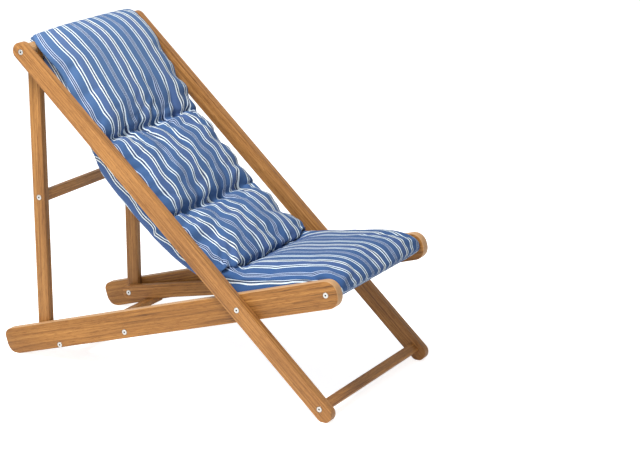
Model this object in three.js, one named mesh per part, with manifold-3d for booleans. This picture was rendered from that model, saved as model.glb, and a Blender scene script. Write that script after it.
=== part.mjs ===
// Folding wooden deck chair with a padded sling, open and ready to sit in.
// Millimetres. +X is the front of the chair, +Y the sitter's left, +Z up.
// The origin lies on the floor under the middle of the chair.
//
// The chair is drawn in the plane of its side. Each side has four layers, from outside to inside:
// back rail, seat rail, prop leg and stay. The frames turn on bolts that run along Y.

import * as THREE from "three";
import { mergeVertices } from "three/addons/utils/BufferGeometryUtils.js";
import Module from "manifold-3d";

const wasm = await Module();
wasm.setup();

// Driving sizes of the whole chair
const chairWidth = 600;
const layerGap = 2.2; // between neighbouring layers, where the washers sit
const touchGap = 0.3; // between pieces that touch on the real chair
const edgeRound = 3; // eased edge of the rails, legs and stays
const barEdgeRound = 1.5; // eased ends of the cross bars
const barCornerRadius = 3; // long edges of the flat cross bars, more than the easing of their ends

// Seat rails: they rest on the floor at the rear and carry the seat at the front
const seatRailLength = 1195;
const seatRailHeight = 80;
const seatRailThickness = 28;
const seatRailTopRadius = 22;
const seatRailBottomRadius = 36;
const mainPivotFromRear = 865;
const frontBarFromFront = 50;
const frontBarFromRear = seatRailLength - frontBarFromFront;
const stayPivotFromRear = 442.5;
const stayPivotBelowMiddle = 21.5;
const rearStretcherFromRear = 195;

// Back rails: from the head bar down through the main pivot to the front feet
const backRailUpperLength = 970;
const backRailLowerLength = 359;
const backRailWidth = 50.5;
const backRailThickness = 24;
const backRailTopBeyondBolt = 3;
const backRailFootBeyondBolt = 18;
const backToSeatDegrees = 59.2;

// Prop legs: from the head bar down to the stays
const legWidth = 40;
const legThickness = 21;
const legFootBeyondPivot = 26;
const legFootRadius = 8;
const propStretcherFromHead = 443;

// Stays: they hold the feet of the prop legs
const stayWidth = 44;
const stayThickness = 22;
const stayLength = 318.2;
const stayAboveRailDegrees = 4.76;

// Cross bars
const headBarRadius = 19;
const frontBarRadius = 17.5;
const rearStretcherWidth = 40;
const rearStretcherHeight = 18;
const rearBoltBelowTop = 6.5;
const propStretcherHeight = 33;
const propStretcherThickness = 19;
const footStretcherHeight = 30;
const footStretcherThickness = 20;

// Depth of the flat that the floor has worn on each foot
const soleFlatDepth = 1.2;

// Fasteners
const boltRadius = 3;
const boltHeadRadius = 8;
const boltHeadThickness = 2.4;
const boltHeadProud = 0.6;
const boltHeadChamfer = 0.7;
const socketRadius = 2.9;
const socketDepth = 1.7;
const sleeveRadius = 4.5;
const bushRadius = 6.4;
const washerRadius = 15;
const insertRadius = 5.2;
const insertLength = 15;
const boltInInsert = 12;
const nutWall = 2; // between a sleeve nut's head and its bore
const spacerRadius = legWidth / 2;
const runningClearance = 0.3; // round a shank, sleeve or insert
const cutOverrun = 2;
const weldDistance = 1e-4; // points nearer than this are one point

// Padded sling
const slingToRail = 4.8; // room beside the pad between the seat rails
const slingToLeg = 4.1; // room beside the gathered end of the pad between the leg tops
const padDepth = 100;
const creaseAbovePivot = 86;
const creaseBehindPivot = 26;
const creaseDepth = 62;

// Number of sides of the round pieces
const boltSides = 12;
const barSides = 24;
const socketSides = 6;
const railEaseSteps = 2; // facets in the eased edge of a rail, leg or stay
const barEaseSteps = 1;
const endArcSteps = 6; // in a quarter of a rail's end
const cornerArcSteps = 2; // in a corner of a flat cross bar
const slingSteps = 2; // between two stations of the pad
const slingRingPoints = 18;
const ringAcrossPower = 0.22; // the smaller, the squarer the ring
const ringUpPower = 0.4;

// Layers of one side, as distances from the middle plane of the chair
const backRailOuter = chairWidth / 2;
const backRailInner = backRailOuter - backRailThickness;
const seatRailOuter = backRailInner - layerGap;
const seatRailInner = seatRailOuter - seatRailThickness;
const legOuter = seatRailInner - layerGap;
const legInner = legOuter - legThickness;
const stayOuter = legInner - layerGap;
const stayInner = stayOuter - stayThickness;
const slingHalfWidth = seatRailInner - slingToRail;
const slingHeadHalfWidth = legInner - slingToLeg;

const sides = [
  { name: "right", sign: -1 },
  { name: "left", sign: 1 },
];

const radians = THREE.MathUtils.degToRad;
const point = (x, y) => new THREE.Vector2(x, y);

// Places in the seat rail's own axes: x along its middle from the rear end, y square to it
const mainPivot = point(mainPivotFromRear, 0);
const frontBarAxis = point(frontBarFromRear, 0);
const stayPivot = point(stayPivotFromRear, -stayPivotBelowMiddle);
const backDown = point(Math.cos(radians(backToSeatDegrees)), -Math.sin(radians(backToSeatDegrees)));
const headAxis = mainPivot.clone().addScaledVector(backDown, -backRailUpperLength);
const footAxis = mainPivot.clone().addScaledVector(backDown, backRailLowerLength);
const stayBack = point(-Math.cos(radians(stayAboveRailDegrees)), Math.sin(radians(stayAboveRailDegrees)));
const legPivot = stayPivot.clone().addScaledVector(stayBack, stayLength);
const legLength = headAxis.distanceTo(legPivot);

// The stays rest on the front edge of the rear stretcher
const stretcherFrontEdge = rearStretcherFromRear + rearStretcherWidth / 2;
const stayRunToEdge = stayPivotFromRear - stretcherFrontEdge;
const stayUnderside = -stayPivotBelowMiddle + stayRunToEdge * Math.tan(radians(stayAboveRailDegrees))
  - stayWidth / 2 / Math.cos(radians(stayAboveRailDegrees));
const rearStretcherTop = stayUnderside - touchGap;
const rearStretcherAxis = point(rearStretcherFromRear, rearStretcherTop - rearBoltBelowTop);

// The rear rail ends and the front feet stand on the floor, which gives the slope of the seat rails
const rearSole = point(seatRailBottomRadius, -(seatRailHeight / 2 - seatRailBottomRadius));
const frontSoleRadius = backRailWidth / 2;
const frontSole = footAxis.clone().addScaledVector(backDown, backRailFootBeyondBolt);
const solesApart = frontSole.clone().sub(rearSole);
const seatSlope = Math.asin((frontSoleRadius - seatRailBottomRadius) / solesApart.length())
  - Math.atan2(solesApart.y, solesApart.x);
const backSlope = seatSlope - radians(backToSeatDegrees);
const staySlope = seatSlope - radians(stayAboveRailDegrees);
const legDown = legPivot.clone().sub(headAxis).normalize();
const legSlope = seatSlope + Math.atan2(legDown.y, legDown.x);

// Turns a place from the seat rail's axes to the chair's axes
const turned = (p) => p.clone().rotateAround(point(0, 0), seatSlope);
const floorBelow = turned(rearSole).y - seatRailBottomRadius + soleFlatDepth;
const upperRearCorner = point(seatRailTopRadius, seatRailHeight / 2 - seatRailTopRadius);
const lowerFrontCorner = point(seatRailLength - seatRailBottomRadius, rearSole.y);
const rearmost = turned(upperRearCorner).x - seatRailTopRadius;
const foremost = turned(lowerFrontCorner).x + seatRailBottomRadius;
const originShift = point(-(rearmost + foremost) / 2, -floorBelow);
const placed = (p) => turned(p).add(originShift);

// A closed geometry as a solid that can be cut
function solidOf(geometry) {
  const bare = geometry.clone();
  for (const name of Object.keys(bare.attributes)) {
    if (name !== "position") bare.deleteAttribute(name);
  }
  const merged = mergeVertices(bare, weldDistance);
  return new wasm.Manifold(new wasm.Mesh({
    numProp: 3,
    vertProperties: new Float32Array(merged.attributes.position.array),
    triVerts: new Uint32Array(merged.index.array),
  }));
}

function geometryOf(solid) {
  const mesh = solid.getMesh();
  const geometry = new THREE.BufferGeometry();
  geometry.setAttribute("position", new THREE.BufferAttribute(mesh.vertProperties, 3));
  geometry.setIndex(new THREE.BufferAttribute(mesh.triVerts, 1));
  const shown = geometry.toNonIndexed();
  shown.computeVertexNormals();
  return shown;
}

// Takes every cutter away from a geometry
function cut(geometry, cutters) {
  let solid = solidOf(geometry);
  for (const cutter of cutters) solid = solid.subtract(solidOf(cutter));
  return geometryOf(solid);
}

// An outline in the side plane, extruded along Y and centred on it, with eased edges
function plank(outline, thickness, round, easeSteps) {
  const geometry = new THREE.ExtrudeGeometry(outline, {
    depth: thickness - 2 * round,
    bevelSize: round,
    bevelThickness: round,
    bevelOffset: -round,
    bevelSegments: easeSteps,
  });
  geometry.translate(0, 0, -(thickness - 2 * round) / 2);
  geometry.rotateX(Math.PI / 2);
  return geometry;
}

// A bar along Y between two faces, from its outline in the side plane
function crossBar(outline, halfLength) {
  return plank(outline, 2 * (halfLength - touchGap), barEdgeRound, barEaseSteps);
}

// A straight board with a radius on each corner, listed from the lower rear corner anticlockwise
function boardOutline(start, end, halfWidth, radii, steps) {
  const corners = [[start, -1], [end, -1], [end, 1], [start, 1]];
  const points = [];
  corners.forEach(([x, up], k) => {
    const r = radii[k];
    const inward = k === 0 || k === 3 ? 1 : -1;
    for (let i = 0; i <= steps; i++) {
      const turn = Math.PI * (1 + k / 2) + (i / steps) * (Math.PI / 2);
      points.push(point(x + inward * r + r * Math.cos(turn), up * (halfWidth - r) + r * Math.sin(turn)));
    }
  });
  const nearest = touchGap / 10;
  return new THREE.Shape(points.filter((p, i) => p.distanceTo(points.at(i - 1)) > nearest));
}

// A piece turned on the Y axis: profile points are radius and distance along Y, from axis to axis
function turnedPiece(profile, segments) {
  return new THREE.LatheGeometry(profile.map(([r, y]) => point(r, y)), segments);
}

function rod(radius, from, to, segments) {
  return turnedPiece([[0, from], [radius, from], [radius, to], [0, to]], segments);
}

// A ring with a square section
function ring(outer, inner, from, to, segments) {
  return turnedPiece([[inner, from], [outer, from], [outer, to], [inner, to], [inner, from]], segments);
}

// Copies of geometries for one side: made for the left, mirrored across the middle for the right.
// A piece turned on Y keeps its form when it is turned half round the X axis.
function forSide(side, geometry) {
  return side.sign > 0 ? geometry : geometry.rotateX(Math.PI);
}

const headSeat = boltHeadThickness + touchGap - boltHeadProud; // depth of the recess for a head

// Bore for a shank between two distances from the middle plane, with no recess
function bore(side, radius, from, to, at) {
  const geometry = forSide(side, rod(radius + runningClearance, from - cutOverrun, to + cutOverrun, boltSides));
  return geometry.translate(at.x, 0, at.y);
}

// Recess for a head in an outer face, or in an inner face when inward is true
function headRecess(side, face, at, inward) {
  const radius = boltHeadRadius + runningClearance;
  const [from, to] = inward ? [face - cutOverrun, face + headSeat] : [face - headSeat, face + cutOverrun];
  return forSide(side, rod(radius, from, to, boltSides)).translate(at.x, 0, at.y);
}

// A turned head on a face with what lies behind it, and a six-sided socket in the head
function headedPiece(side, face, out, behind) {
  const top = face + out * boltHeadProud;
  const under = top - out * boltHeadThickness;
  const rim = top - out * boltHeadChamfer;
  const head = [[boltHeadRadius, under], [boltHeadRadius, rim], [boltHeadRadius - boltHeadChamfer, top], [0, top]];
  const profile = [...behind(under), ...head];
  if (out < 0) profile.reverse();
  const socket = new THREE.CylinderGeometry(socketRadius, socketRadius, socketDepth + cutOverrun, socketSides);
  socket.translate(0, top + out * ((cutOverrun - socketDepth) / 2), 0);
  return forSide(side, cut(turnedPiece(profile, boltSides), [socket]));
}

// Bolt whose head shows on the face, and whose shank runs to the tip
function boltGeometry(side, face, tip) {
  return headedPiece(side, face, Math.sign(face - tip), (under) => [[0, tip], [boltRadius, tip], [boltRadius, under]]);
}

// Closed end of the bore of a sleeve nut whose head shows on the face
const nutBoreEnd = (face, out) => face - out * (headSeat + nutWall);

// Sleeve nut: a head on the face and a bored sleeve that takes the bolt from the other side
function sleeveNutGeometry(side, face, end) {
  const out = Math.sign(face - end);
  const blind = nutBoreEnd(face, out);
  const hole = boltRadius + runningClearance;
  return headedPiece(side, face, out,
    (under) => [[0, blind], [hole, blind], [hole, end], [sleeveRadius, end], [sleeveRadius, under]]);
}

const wood = { color: 0xb98250, roughness: 0.55, metalness: 0 };
const paleWood = { color: 0xc79462, roughness: 0.6, metalness: 0 };
const steel = { color: 0xc9cbcc, roughness: 0.3, metalness: 1 };
const nylon = { color: 0x3b3a38, roughness: 0.6, metalness: 0 };
const brass = { color: 0xb08d4a, roughness: 0.4, metalness: 1 };
const stripedCotton = { color: 0x4f75b3, roughness: 0.9, metalness: 0 };

function piece(parent, name, geometry, finish) {
  const mesh = new THREE.Mesh(geometry, new THREE.MeshStandardMaterial(finish));
  mesh.name = name;
  parent.add(mesh);
  return mesh;
}

// A group whose X axis lies along a member and whose origin is at a place in the seat rail's axes
function memberGroup(parent, origin, slope) {
  const group = new THREE.Group();
  const at = placed(origin);
  group.position.set(at.x, 0, at.y);
  group.rotation.y = -slope;
  parent.add(group);
  return group;
}

const chair = new THREE.Group();
const seatFrame = memberGroup(chair, point(0, 0), seatSlope);
const backFrame = memberGroup(chair, headAxis, backSlope);
const propFrame = memberGroup(chair, headAxis, legSlope);
const stayFrame = memberGroup(chair, legPivot, staySlope);

// Cutter that leaves a flat sole on the floor, in the axes of a member's group
function belowFloor(group) {
  const reach = chairWidth;
  const block = new THREE.BoxGeometry(reach, reach, reach).translate(0, 0, -reach / 2);
  group.updateMatrixWorld(true);
  return (at) => block.clone().translate(at.x, 0, 0).applyMatrix4(group.matrixWorld.clone().invert());
}

const origin = point(0, 0);

// Seat rail: bores for the two sling bars, the stay pivot and the main pivot
function seatRail(side) {
  const middle = (seatRailOuter + seatRailInner) / 2;
  const outline = boardOutline(0, seatRailLength, seatRailHeight / 2,
    [seatRailBottomRadius, seatRailBottomRadius, seatRailTopRadius, seatRailTopRadius], endArcSteps);
  const board = plank(outline, seatRailThickness, edgeRound, railEaseSteps).translate(0, side.sign * middle, 0);
  const cutters = [belowFloor(seatFrame)(placed(rearSole))];
  for (const axis of [frontBarAxis, rearStretcherAxis, stayPivot]) {
    cutters.push(headRecess(side, seatRailOuter, axis, false));
  }
  for (const axis of [frontBarAxis, rearStretcherAxis]) {
    cutters.push(bore(side, boltRadius, seatRailInner, seatRailOuter, axis));
  }
  for (const axis of [stayPivot, mainPivot]) {
    cutters.push(bore(side, sleeveRadius, seatRailInner, seatRailOuter, axis));
  }
  cutters.push(headRecess(side, seatRailInner, mainPivot, true));
  piece(seatFrame, "seat_rail_" + side.name, cut(board, cutters), wood);
}

// Back rail in its own axes: the head bolt at the origin, X down towards the foot
const mainPivotOnBack = point(backRailUpperLength, 0);
const footOnBack = point(backRailUpperLength + backRailLowerLength, 0);

function backRail(side) {
  const middle = (backRailOuter + backRailInner) / 2;
  const half = backRailWidth / 2;
  const outline = boardOutline(-backRailTopBeyondBolt - half, footOnBack.x + backRailFootBeyondBolt + half,
    half, [half, half, half, half], endArcSteps);
  const board = plank(outline, backRailThickness, edgeRound, railEaseSteps).translate(0, side.sign * middle, 0);
  const cutters = [
    belowFloor(backFrame)(placed(frontSole)),
    bore(side, boltRadius, backRailInner, backRailOuter, origin),
    bore(side, boltRadius, backRailInner, backRailOuter, footOnBack),
    bore(side, sleeveRadius, backRailInner, backRailOuter, mainPivotOnBack),
  ];
  for (const axis of [origin, footOnBack, mainPivotOnBack]) {
    cutters.push(headRecess(side, backRailOuter, axis, false));
  }
  piece(backFrame, "back_rail_" + side.name, cut(board, cutters), wood);
}

// Prop leg in its own axes: the head bolt at the origin, X down towards the foot
const stretcherOnLeg = point(propStretcherFromHead, 0);
const pivotOnLeg = point(legLength, 0);

function propLeg(side) {
  const middle = (legOuter + legInner) / 2;
  const half = legWidth / 2;
  const outline = boardOutline(-half, legLength + legFootBeyondPivot, half,
    [half, legFootRadius, legFootRadius, half], endArcSteps);
  const board = plank(outline, legThickness, edgeRound, railEaseSteps).translate(0, side.sign * middle, 0);
  const cutters = [
    bore(side, boltRadius, legInner, legOuter, origin),
    bore(side, boltRadius, legInner, legOuter, stretcherOnLeg),
    bore(side, sleeveRadius, legInner, legOuter, pivotOnLeg),
    headRecess(side, legOuter, stretcherOnLeg, false),
    headRecess(side, legOuter, pivotOnLeg, false),
  ];
  piece(propFrame, "prop_leg_" + side.name, cut(board, cutters), wood);
}

// Stay in its own axes: the leg pivot at the origin, X forward to the pivot on the seat rail
const railPivotOnStay = point(stayLength, 0);

function stay(side) {
  const middle = (stayOuter + stayInner) / 2;
  const half = stayWidth / 2;
  const outline = boardOutline(-half, stayLength + half, half, [half, half, half, half], endArcSteps);
  const board = plank(outline, stayThickness, edgeRound, railEaseSteps).translate(0, side.sign * middle, 0);
  const cutters = [headRecess(side, stayInner, origin, true), headRecess(side, stayInner, railPivotOnStay, true)];
  for (const axis of [origin, railPivotOnStay]) {
    cutters.push(bore(side, sleeveRadius, stayInner, stayOuter, axis));
  }
  piece(stayFrame, "stay_" + side.name, cut(board, cutters), wood);
}

// Bores in both ends of a cross bar: a wide one for the threaded insert, a deeper one for the bolt's tip
function endBores(halfLength) {
  const cutters = [];
  for (const side of sides) {
    cutters.push(bore(side, insertRadius, halfLength - insertLength - 2 * touchGap + cutOverrun, halfLength, origin));
    cutters.push(bore(side, boltRadius, halfLength - insertLength - boltInInsert, halfLength, origin));
  }
  return cutters;
}

// Threaded insert, flush in the end of a cross bar
function insert(parent, name, side, halfLength, at) {
  const end = halfLength - touchGap;
  const made = forSide(side, ring(insertRadius, boltRadius + runningClearance, end - insertLength, end, boltSides));
  piece(parent, name + "_" + side.name, made, brass).position.set(at.x, 0, at.y);
}

// A cross bar with its inserts, and the bolts that hold it between two rails
function boltedBar(parent, name, outline, halfLength, at, railFace) {
  const bar = cut(crossBar(outline, halfLength), endBores(halfLength));
  piece(parent, name, bar, wood).position.set(at.x, 0, at.y);
  for (const side of sides) {
    insert(parent, name + "_insert", side, halfLength, at);
    const tip = halfLength - boltInInsert;
    const bolt = boltGeometry(side, railFace, tip);
    piece(parent, name + "_bolt_" + side.name, bolt, steel).position.set(at.x, 0, at.y);
  }
}

// Section of a flat cross bar, raised by the given amount over the bolt's axis
function flatSection(along, across, rise) {
  const r = barCornerRadius;
  const section = boardOutline(-along / 2, along / 2, across / 2, [r, r, r, r], cornerArcSteps);
  return new THREE.Shape(section.getPoints().map((p) => point(p.x, p.y + rise)));
}

function roundSection(radius) {
  const points = [];
  for (let i = 0; i < barSides; i++) {
    const turn = (2 * Math.PI * i) / barSides;
    points.push(point(radius * Math.cos(turn), radius * Math.sin(turn)));
  }
  return new THREE.Shape(points);
}

// Head bar: it turns with the prop legs. The head bolt is in two lengths, one in the back rail and
// one through the spacer, the leg and the end of the bar, so that the legs can leave the back rails.
function headBar() {
  const bar = crossBar(roundSection(headBarRadius), legInner);
  piece(propFrame, "head_bar", cut(bar, endBores(legInner)), wood);
  for (const side of sides) {
    insert(propFrame, "head_insert", side, legInner, origin);
    const pin = forSide(side, rod(boltRadius, legInner - boltInInsert, backRailInner - touchGap, boltSides));
    piece(propFrame, "head_pin_" + side.name, pin, steel);
    const spacer = ring(spacerRadius, boltRadius + runningClearance, legOuter + touchGap,
      backRailInner - touchGap, barSides);
    piece(propFrame, "head_spacer_" + side.name, forSide(side, spacer), paleWood);
    const bolt = boltGeometry(side, backRailOuter, backRailInner);
    piece(backFrame, "head_bolt_" + side.name, bolt, steel);
  }
}

// Through bolts and sleeve nuts of the turning joints, with their washers and bushes
function mainPivotHardware(side) {
  const at = mainPivotOnBack;
  const bolt = boltGeometry(side, backRailOuter, nutBoreEnd(seatRailInner, -1) + touchGap);
  piece(backFrame, "main_pivot_bolt_" + side.name, bolt, steel).position.set(at.x, 0, at.y);
  const nut = sleeveNutGeometry(side, seatRailInner, backRailOuter - headSeat);
  piece(backFrame, "main_pivot_nut_" + side.name, nut, steel).position.set(at.x, 0, at.y);
  const washer = ring(washerRadius, sleeveRadius + runningClearance, seatRailOuter + touchGap,
    backRailInner - touchGap, boltSides);
  piece(backFrame, "main_pivot_washer_" + side.name, forSide(side, washer), nylon).position.set(at.x, 0, at.y);
}

function stayPivotHardware(side) {
  const at = stayPivot;
  const bolt = boltGeometry(side, seatRailOuter, nutBoreEnd(stayInner, -1) + touchGap);
  piece(seatFrame, "stay_pivot_bolt_" + side.name, bolt, steel).position.set(at.x, 0, at.y);
  const nut = sleeveNutGeometry(side, stayInner, seatRailOuter - headSeat);
  piece(seatFrame, "stay_pivot_nut_" + side.name, nut, steel).position.set(at.x, 0, at.y);
  const bush = ring(bushRadius, sleeveRadius + runningClearance, stayOuter + touchGap,
    seatRailInner - touchGap, boltSides);
  piece(seatFrame, "stay_pivot_bush_" + side.name, forSide(side, bush), steel).position.set(at.x, 0, at.y);
}

function legPivotHardware(side) {
  const bolt = boltGeometry(side, stayInner, nutBoreEnd(legOuter, 1) - touchGap);
  piece(stayFrame, "leg_pivot_bolt_" + side.name, bolt, steel);
  const nut = sleeveNutGeometry(side, legOuter, stayInner + headSeat);
  piece(stayFrame, "leg_pivot_nut_" + side.name, nut, steel);
  const washer = ring(washerRadius, sleeveRadius + runningClearance, stayOuter + touchGap,
    legInner - touchGap, boltSides);
  piece(stayFrame, "leg_pivot_washer_" + side.name, forSide(side, washer), nylon);
}

// The padded sling is one long quilted pad with a sleeve at each end, drawn as its back half and
// its seat half, which meet in the crease. Each half is a row of rings between a top line and an
// underside. Stations are shares of the half's length, and heights are shares of the pad's depth.
const backTopShares = [
  [-0.039, 0.04], [-0.032, 0.26], [-0.008, 0.39], [0.026, 0.45], [0.062, 0.5], [0.113, 0.46],
  [0.206, 0.26], [0.289, 0.04], [0.332, -0.12], [0.349, -0.26], [0.367, -0.12], [0.412, 0],
  [0.495, -0.03], [0.577, -0.1], [0.629, -0.18], [0.647, -0.31], [0.666, -0.16], [0.722, -0.02],
  [0.794, 0.04], [0.856, 0.16], [0.895, 0.26],
];
const backUnderShares = [
  [-0.039, -0.04], [-0.032, -0.18], [-0.008, -0.27], [0.026, -0.31], [0.062, -0.37], [0.119, -0.49],
  [0.211, -0.68], [0.299, -0.87], [0.34, -0.94], [0.356, -0.96], [0.373, -0.99], [0.42, -1.05],
  [0.505, -1.1], [0.588, -1.1], [0.637, -1.08], [0.656, -1.07], [0.675, -1.06], [0.732, -1],
  [0.799, -0.84], [0.864, -0.62], [0.912, -0.42],
];
const seatTopShares = [
  [0.023, 0.93], [0.101, 0.99], [0.232, 0.97], [0.395, 0.9], [0.559, 0.84], [0.722, 0.78],
  [0.886, 0.69], [1, 0.57], [1.075, 0.42], [1.121, 0.22], [1.114, 0.02], [1.082, -0.1],
];
const seatUnderShares = [
  [-0.042, 0.24], [0.052, 0.15], [0.216, 0.08], [0.395, 0.05], [0.559, 0.03], [0.722, 0],
  [0.869, -0.09], [0.951, -0.18], [1, -0.21], [1.029, -0.2], [1.052, -0.17], [1.065, -0.14],
];
// Half width at each station of the back: gathered between the leg tops, drawn in at the seams
const backWidthShares = [
  0, 0, 0, 0, 0, 0.55, 1, 1, 0.9, 0.75, 0.9, 1, 1, 1, 0.9, 0.75, 0.9, 1, 1, 1, 0.9, 0.75,
];
const seatWidthShares = [0.75, 0.9, 1, 1, 1, 1, 1, 1, 1, 1, 1, 1, 1];

const crease = point(mainPivotFromRear - creaseBehindPivot, creaseAbovePivot);
const seatDepth = frontBarFromRear - crease.x;
const creaseTurn = radians(backToSeatDegrees / 2);
const creaseDown = point(-Math.sin(creaseTurn), -Math.cos(creaseTurn));
const creaseForward = point(Math.cos(creaseTurn), -Math.sin(creaseTurn));
const creaseUnder = crease.clone().addScaledVector(creaseDown, creaseDepth);

// Turns a place from the seat rail's axes to the back rail's axes
const onBack = (p) => p.clone().sub(headAxis).rotateAround(origin, radians(backToSeatDegrees));

// A smooth line through hand-chosen points, with the same number of steps between each pair
function smoothLine(points) {
  const curve = new THREE.CatmullRomCurve3(points.map((p) => new THREE.Vector3(p.x, p.y, 0)), false, "centripetal");
  return curve.getPoints((points.length - 1) * slingSteps);
}

// Closed pad from matching stations of a top line and an underside, with a half width at each
function padGeometry(topPoints, underPoints, widthPoints) {
  const top = smoothLine(topPoints);
  const under = smoothLine(underPoints);
  const widths = smoothLine(widthPoints);
  const positions = [];
  const index = [];
  const n = slingRingPoints;
  top.forEach((t, i) => {
    const middle = t.clone().add(under[i]).multiplyScalar(1 / 2);
    const half = t.clone().sub(under[i]).multiplyScalar(1 / 2);
    for (let j = 0; j < n; j++) {
      const turn = (2 * Math.PI * (j + 1 / 2)) / n;
      const across = Math.sign(Math.cos(turn)) * Math.abs(Math.cos(turn)) ** ringAcrossPower;
      const up = Math.sign(Math.sin(turn)) * Math.abs(Math.sin(turn)) ** ringUpPower;
      positions.push(middle.x + half.x * up, across * widths[i].y, middle.y + half.y * up);
    }
  });
  const last = (top.length - 1) * n;
  for (let a = 0; a < last; a++) {
    const b = a % n === n - 1 ? a - n + 1 : a + 1;
    index.push(a, b, a + n, b, b + n, a + n);
  }
  for (let j = 1; j < n - 1; j++) index.push(0, j + 1, j, last, last + j, last + j + 1);
  const geometry = new THREE.BufferGeometry();
  geometry.setAttribute("position", new THREE.Float32BufferAttribute(positions, 3));
  geometry.setIndex(index);
  return geometry;
}

// Bore along Y that a cross bar passes through
function barBore(radius, at) {
  const reach = slingHalfWidth + cutOverrun;
  return rod(radius + touchGap, -reach, reach, barSides).translate(at.x, 0, at.y);
}

function padLines(topShares, underShares, widthShares, place) {
  const widths = widthShares.map((share, i) => point(i * padDepth,
    THREE.MathUtils.lerp(slingHeadHalfWidth, slingHalfWidth, share)));
  return [topShares.map(place), underShares.map(place), widths];
}

function slingBack() {
  const place = ([along, up]) => point(along * backRailUpperLength, up * padDepth);
  const [top, under, widths] = padLines(backTopShares, backUnderShares, backWidthShares, place);
  const pad = padGeometry([...top, onBack(crease)], [...under, onBack(creaseUnder)], widths);
  piece(backFrame, "sling_back", cut(pad, [barBore(headBarRadius, origin)]), stripedCotton);
}

function slingSeat() {
  const place = ([along, up]) => point(crease.x + along * seatDepth, up * padDepth);
  const [top, under, widths] = padLines(seatTopShares, seatUnderShares, seatWidthShares, place);
  const clear = creaseForward.clone().multiplyScalar(touchGap);
  const pad = padGeometry([crease.clone().add(clear), ...top], [creaseUnder.clone().add(clear), ...under], widths);
  piece(seatFrame, "sling_seat", cut(pad, [barBore(frontBarRadius, frontBarAxis)]), stripedCotton);
}

for (const side of sides) {
  seatRail(side);
  backRail(side);
  propLeg(side);
  stay(side);
  mainPivotHardware(side);
  stayPivotHardware(side);
  legPivotHardware(side);
}
headBar();
boltedBar(seatFrame, "front_bar", roundSection(frontBarRadius), seatRailInner, frontBarAxis, seatRailOuter);
boltedBar(seatFrame, "rear_stretcher",
  flatSection(rearStretcherWidth, rearStretcherHeight, rearBoltBelowTop - rearStretcherHeight / 2),
  seatRailInner, rearStretcherAxis, seatRailOuter);
boltedBar(propFrame, "prop_stretcher", flatSection(propStretcherHeight, propStretcherThickness, 0),
  legInner, stretcherOnLeg, legOuter);
boltedBar(backFrame, "foot_stretcher", flatSection(footStretcherHeight, footStretcherThickness, 0),
  backRailInner, footOnBack, backRailOuter);
slingBack();
slingSeat();

export default chair;
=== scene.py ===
import math
import bpy
import numpy as np
from mathutils import Matrix, Vector


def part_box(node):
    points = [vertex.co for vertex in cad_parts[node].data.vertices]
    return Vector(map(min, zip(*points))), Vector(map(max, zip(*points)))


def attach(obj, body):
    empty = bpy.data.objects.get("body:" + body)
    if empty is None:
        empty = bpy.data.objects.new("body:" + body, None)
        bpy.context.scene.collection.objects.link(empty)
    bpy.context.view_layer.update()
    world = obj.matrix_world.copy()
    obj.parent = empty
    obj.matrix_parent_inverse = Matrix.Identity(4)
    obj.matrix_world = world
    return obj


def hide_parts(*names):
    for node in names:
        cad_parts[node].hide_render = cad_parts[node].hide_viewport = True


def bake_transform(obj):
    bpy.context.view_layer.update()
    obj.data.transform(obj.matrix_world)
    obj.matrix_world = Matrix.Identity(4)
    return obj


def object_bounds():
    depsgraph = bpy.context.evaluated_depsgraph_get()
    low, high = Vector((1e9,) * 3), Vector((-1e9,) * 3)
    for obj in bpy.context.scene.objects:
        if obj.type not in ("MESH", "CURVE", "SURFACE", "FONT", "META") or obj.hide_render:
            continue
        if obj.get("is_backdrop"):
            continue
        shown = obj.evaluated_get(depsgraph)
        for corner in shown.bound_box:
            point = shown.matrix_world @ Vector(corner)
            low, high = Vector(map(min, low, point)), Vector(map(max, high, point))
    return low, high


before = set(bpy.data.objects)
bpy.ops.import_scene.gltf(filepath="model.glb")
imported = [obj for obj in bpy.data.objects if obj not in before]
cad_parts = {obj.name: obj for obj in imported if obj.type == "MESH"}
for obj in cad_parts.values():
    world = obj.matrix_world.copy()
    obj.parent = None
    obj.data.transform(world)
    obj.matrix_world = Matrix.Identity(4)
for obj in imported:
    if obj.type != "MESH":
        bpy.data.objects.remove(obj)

cad_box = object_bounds()

# Camera
# The photograph was taken from the chair's right, a little above the seat, with a long lens.
# The view is fitted to eight bolts of the chair, and the photograph leans by a third of a degree.
photo_width = 640
camera_azimuth, camera_elevation = math.radians(29.186), math.radians(16.698)
camera_distance, camera_lean = 5.7479, math.radians(0.339)
camera_target = Vector((0.3548, 0, 0.4342))
focal_pixels, film_width = 2012.06, 36.0
backward = Vector((
    math.sin(camera_azimuth) * math.cos(camera_elevation),
    -math.cos(camera_azimuth) * math.cos(camera_elevation),
    math.sin(camera_elevation),
))
lens = bpy.data.cameras.new("photo_camera")
lens.sensor_width = film_width
lens.lens = film_width * focal_pixels / photo_width
lens.clip_end = 100
camera = bpy.data.objects.new("photo_camera", lens)
bpy.context.collection.objects.link(camera)
upright = backward.to_track_quat("Z", "Y").to_matrix()
camera.matrix_world = Matrix.Translation(camera_target + backward * camera_distance) @ (
    upright @ Matrix.Rotation(camera_lean, 3, "Z")
).to_4x4()
bpy.context.scene.camera = camera

# Floor and light
# A pale studio floor that runs off into white, a large soft lamp from above the chair's right, a
# weaker one from the front, and fill from all round.
studio_white, pure_white = (0.9, 0.9, 0.9, 1), (1, 1, 1, 1)
floor_size, floor_glow, floor_roughness = 60, 0.75, 0.9
sky_strength, seen_sky_strength = 0.37, 1.0
scene = bpy.context.scene
scene.view_settings.view_transform = "Standard"


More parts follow.
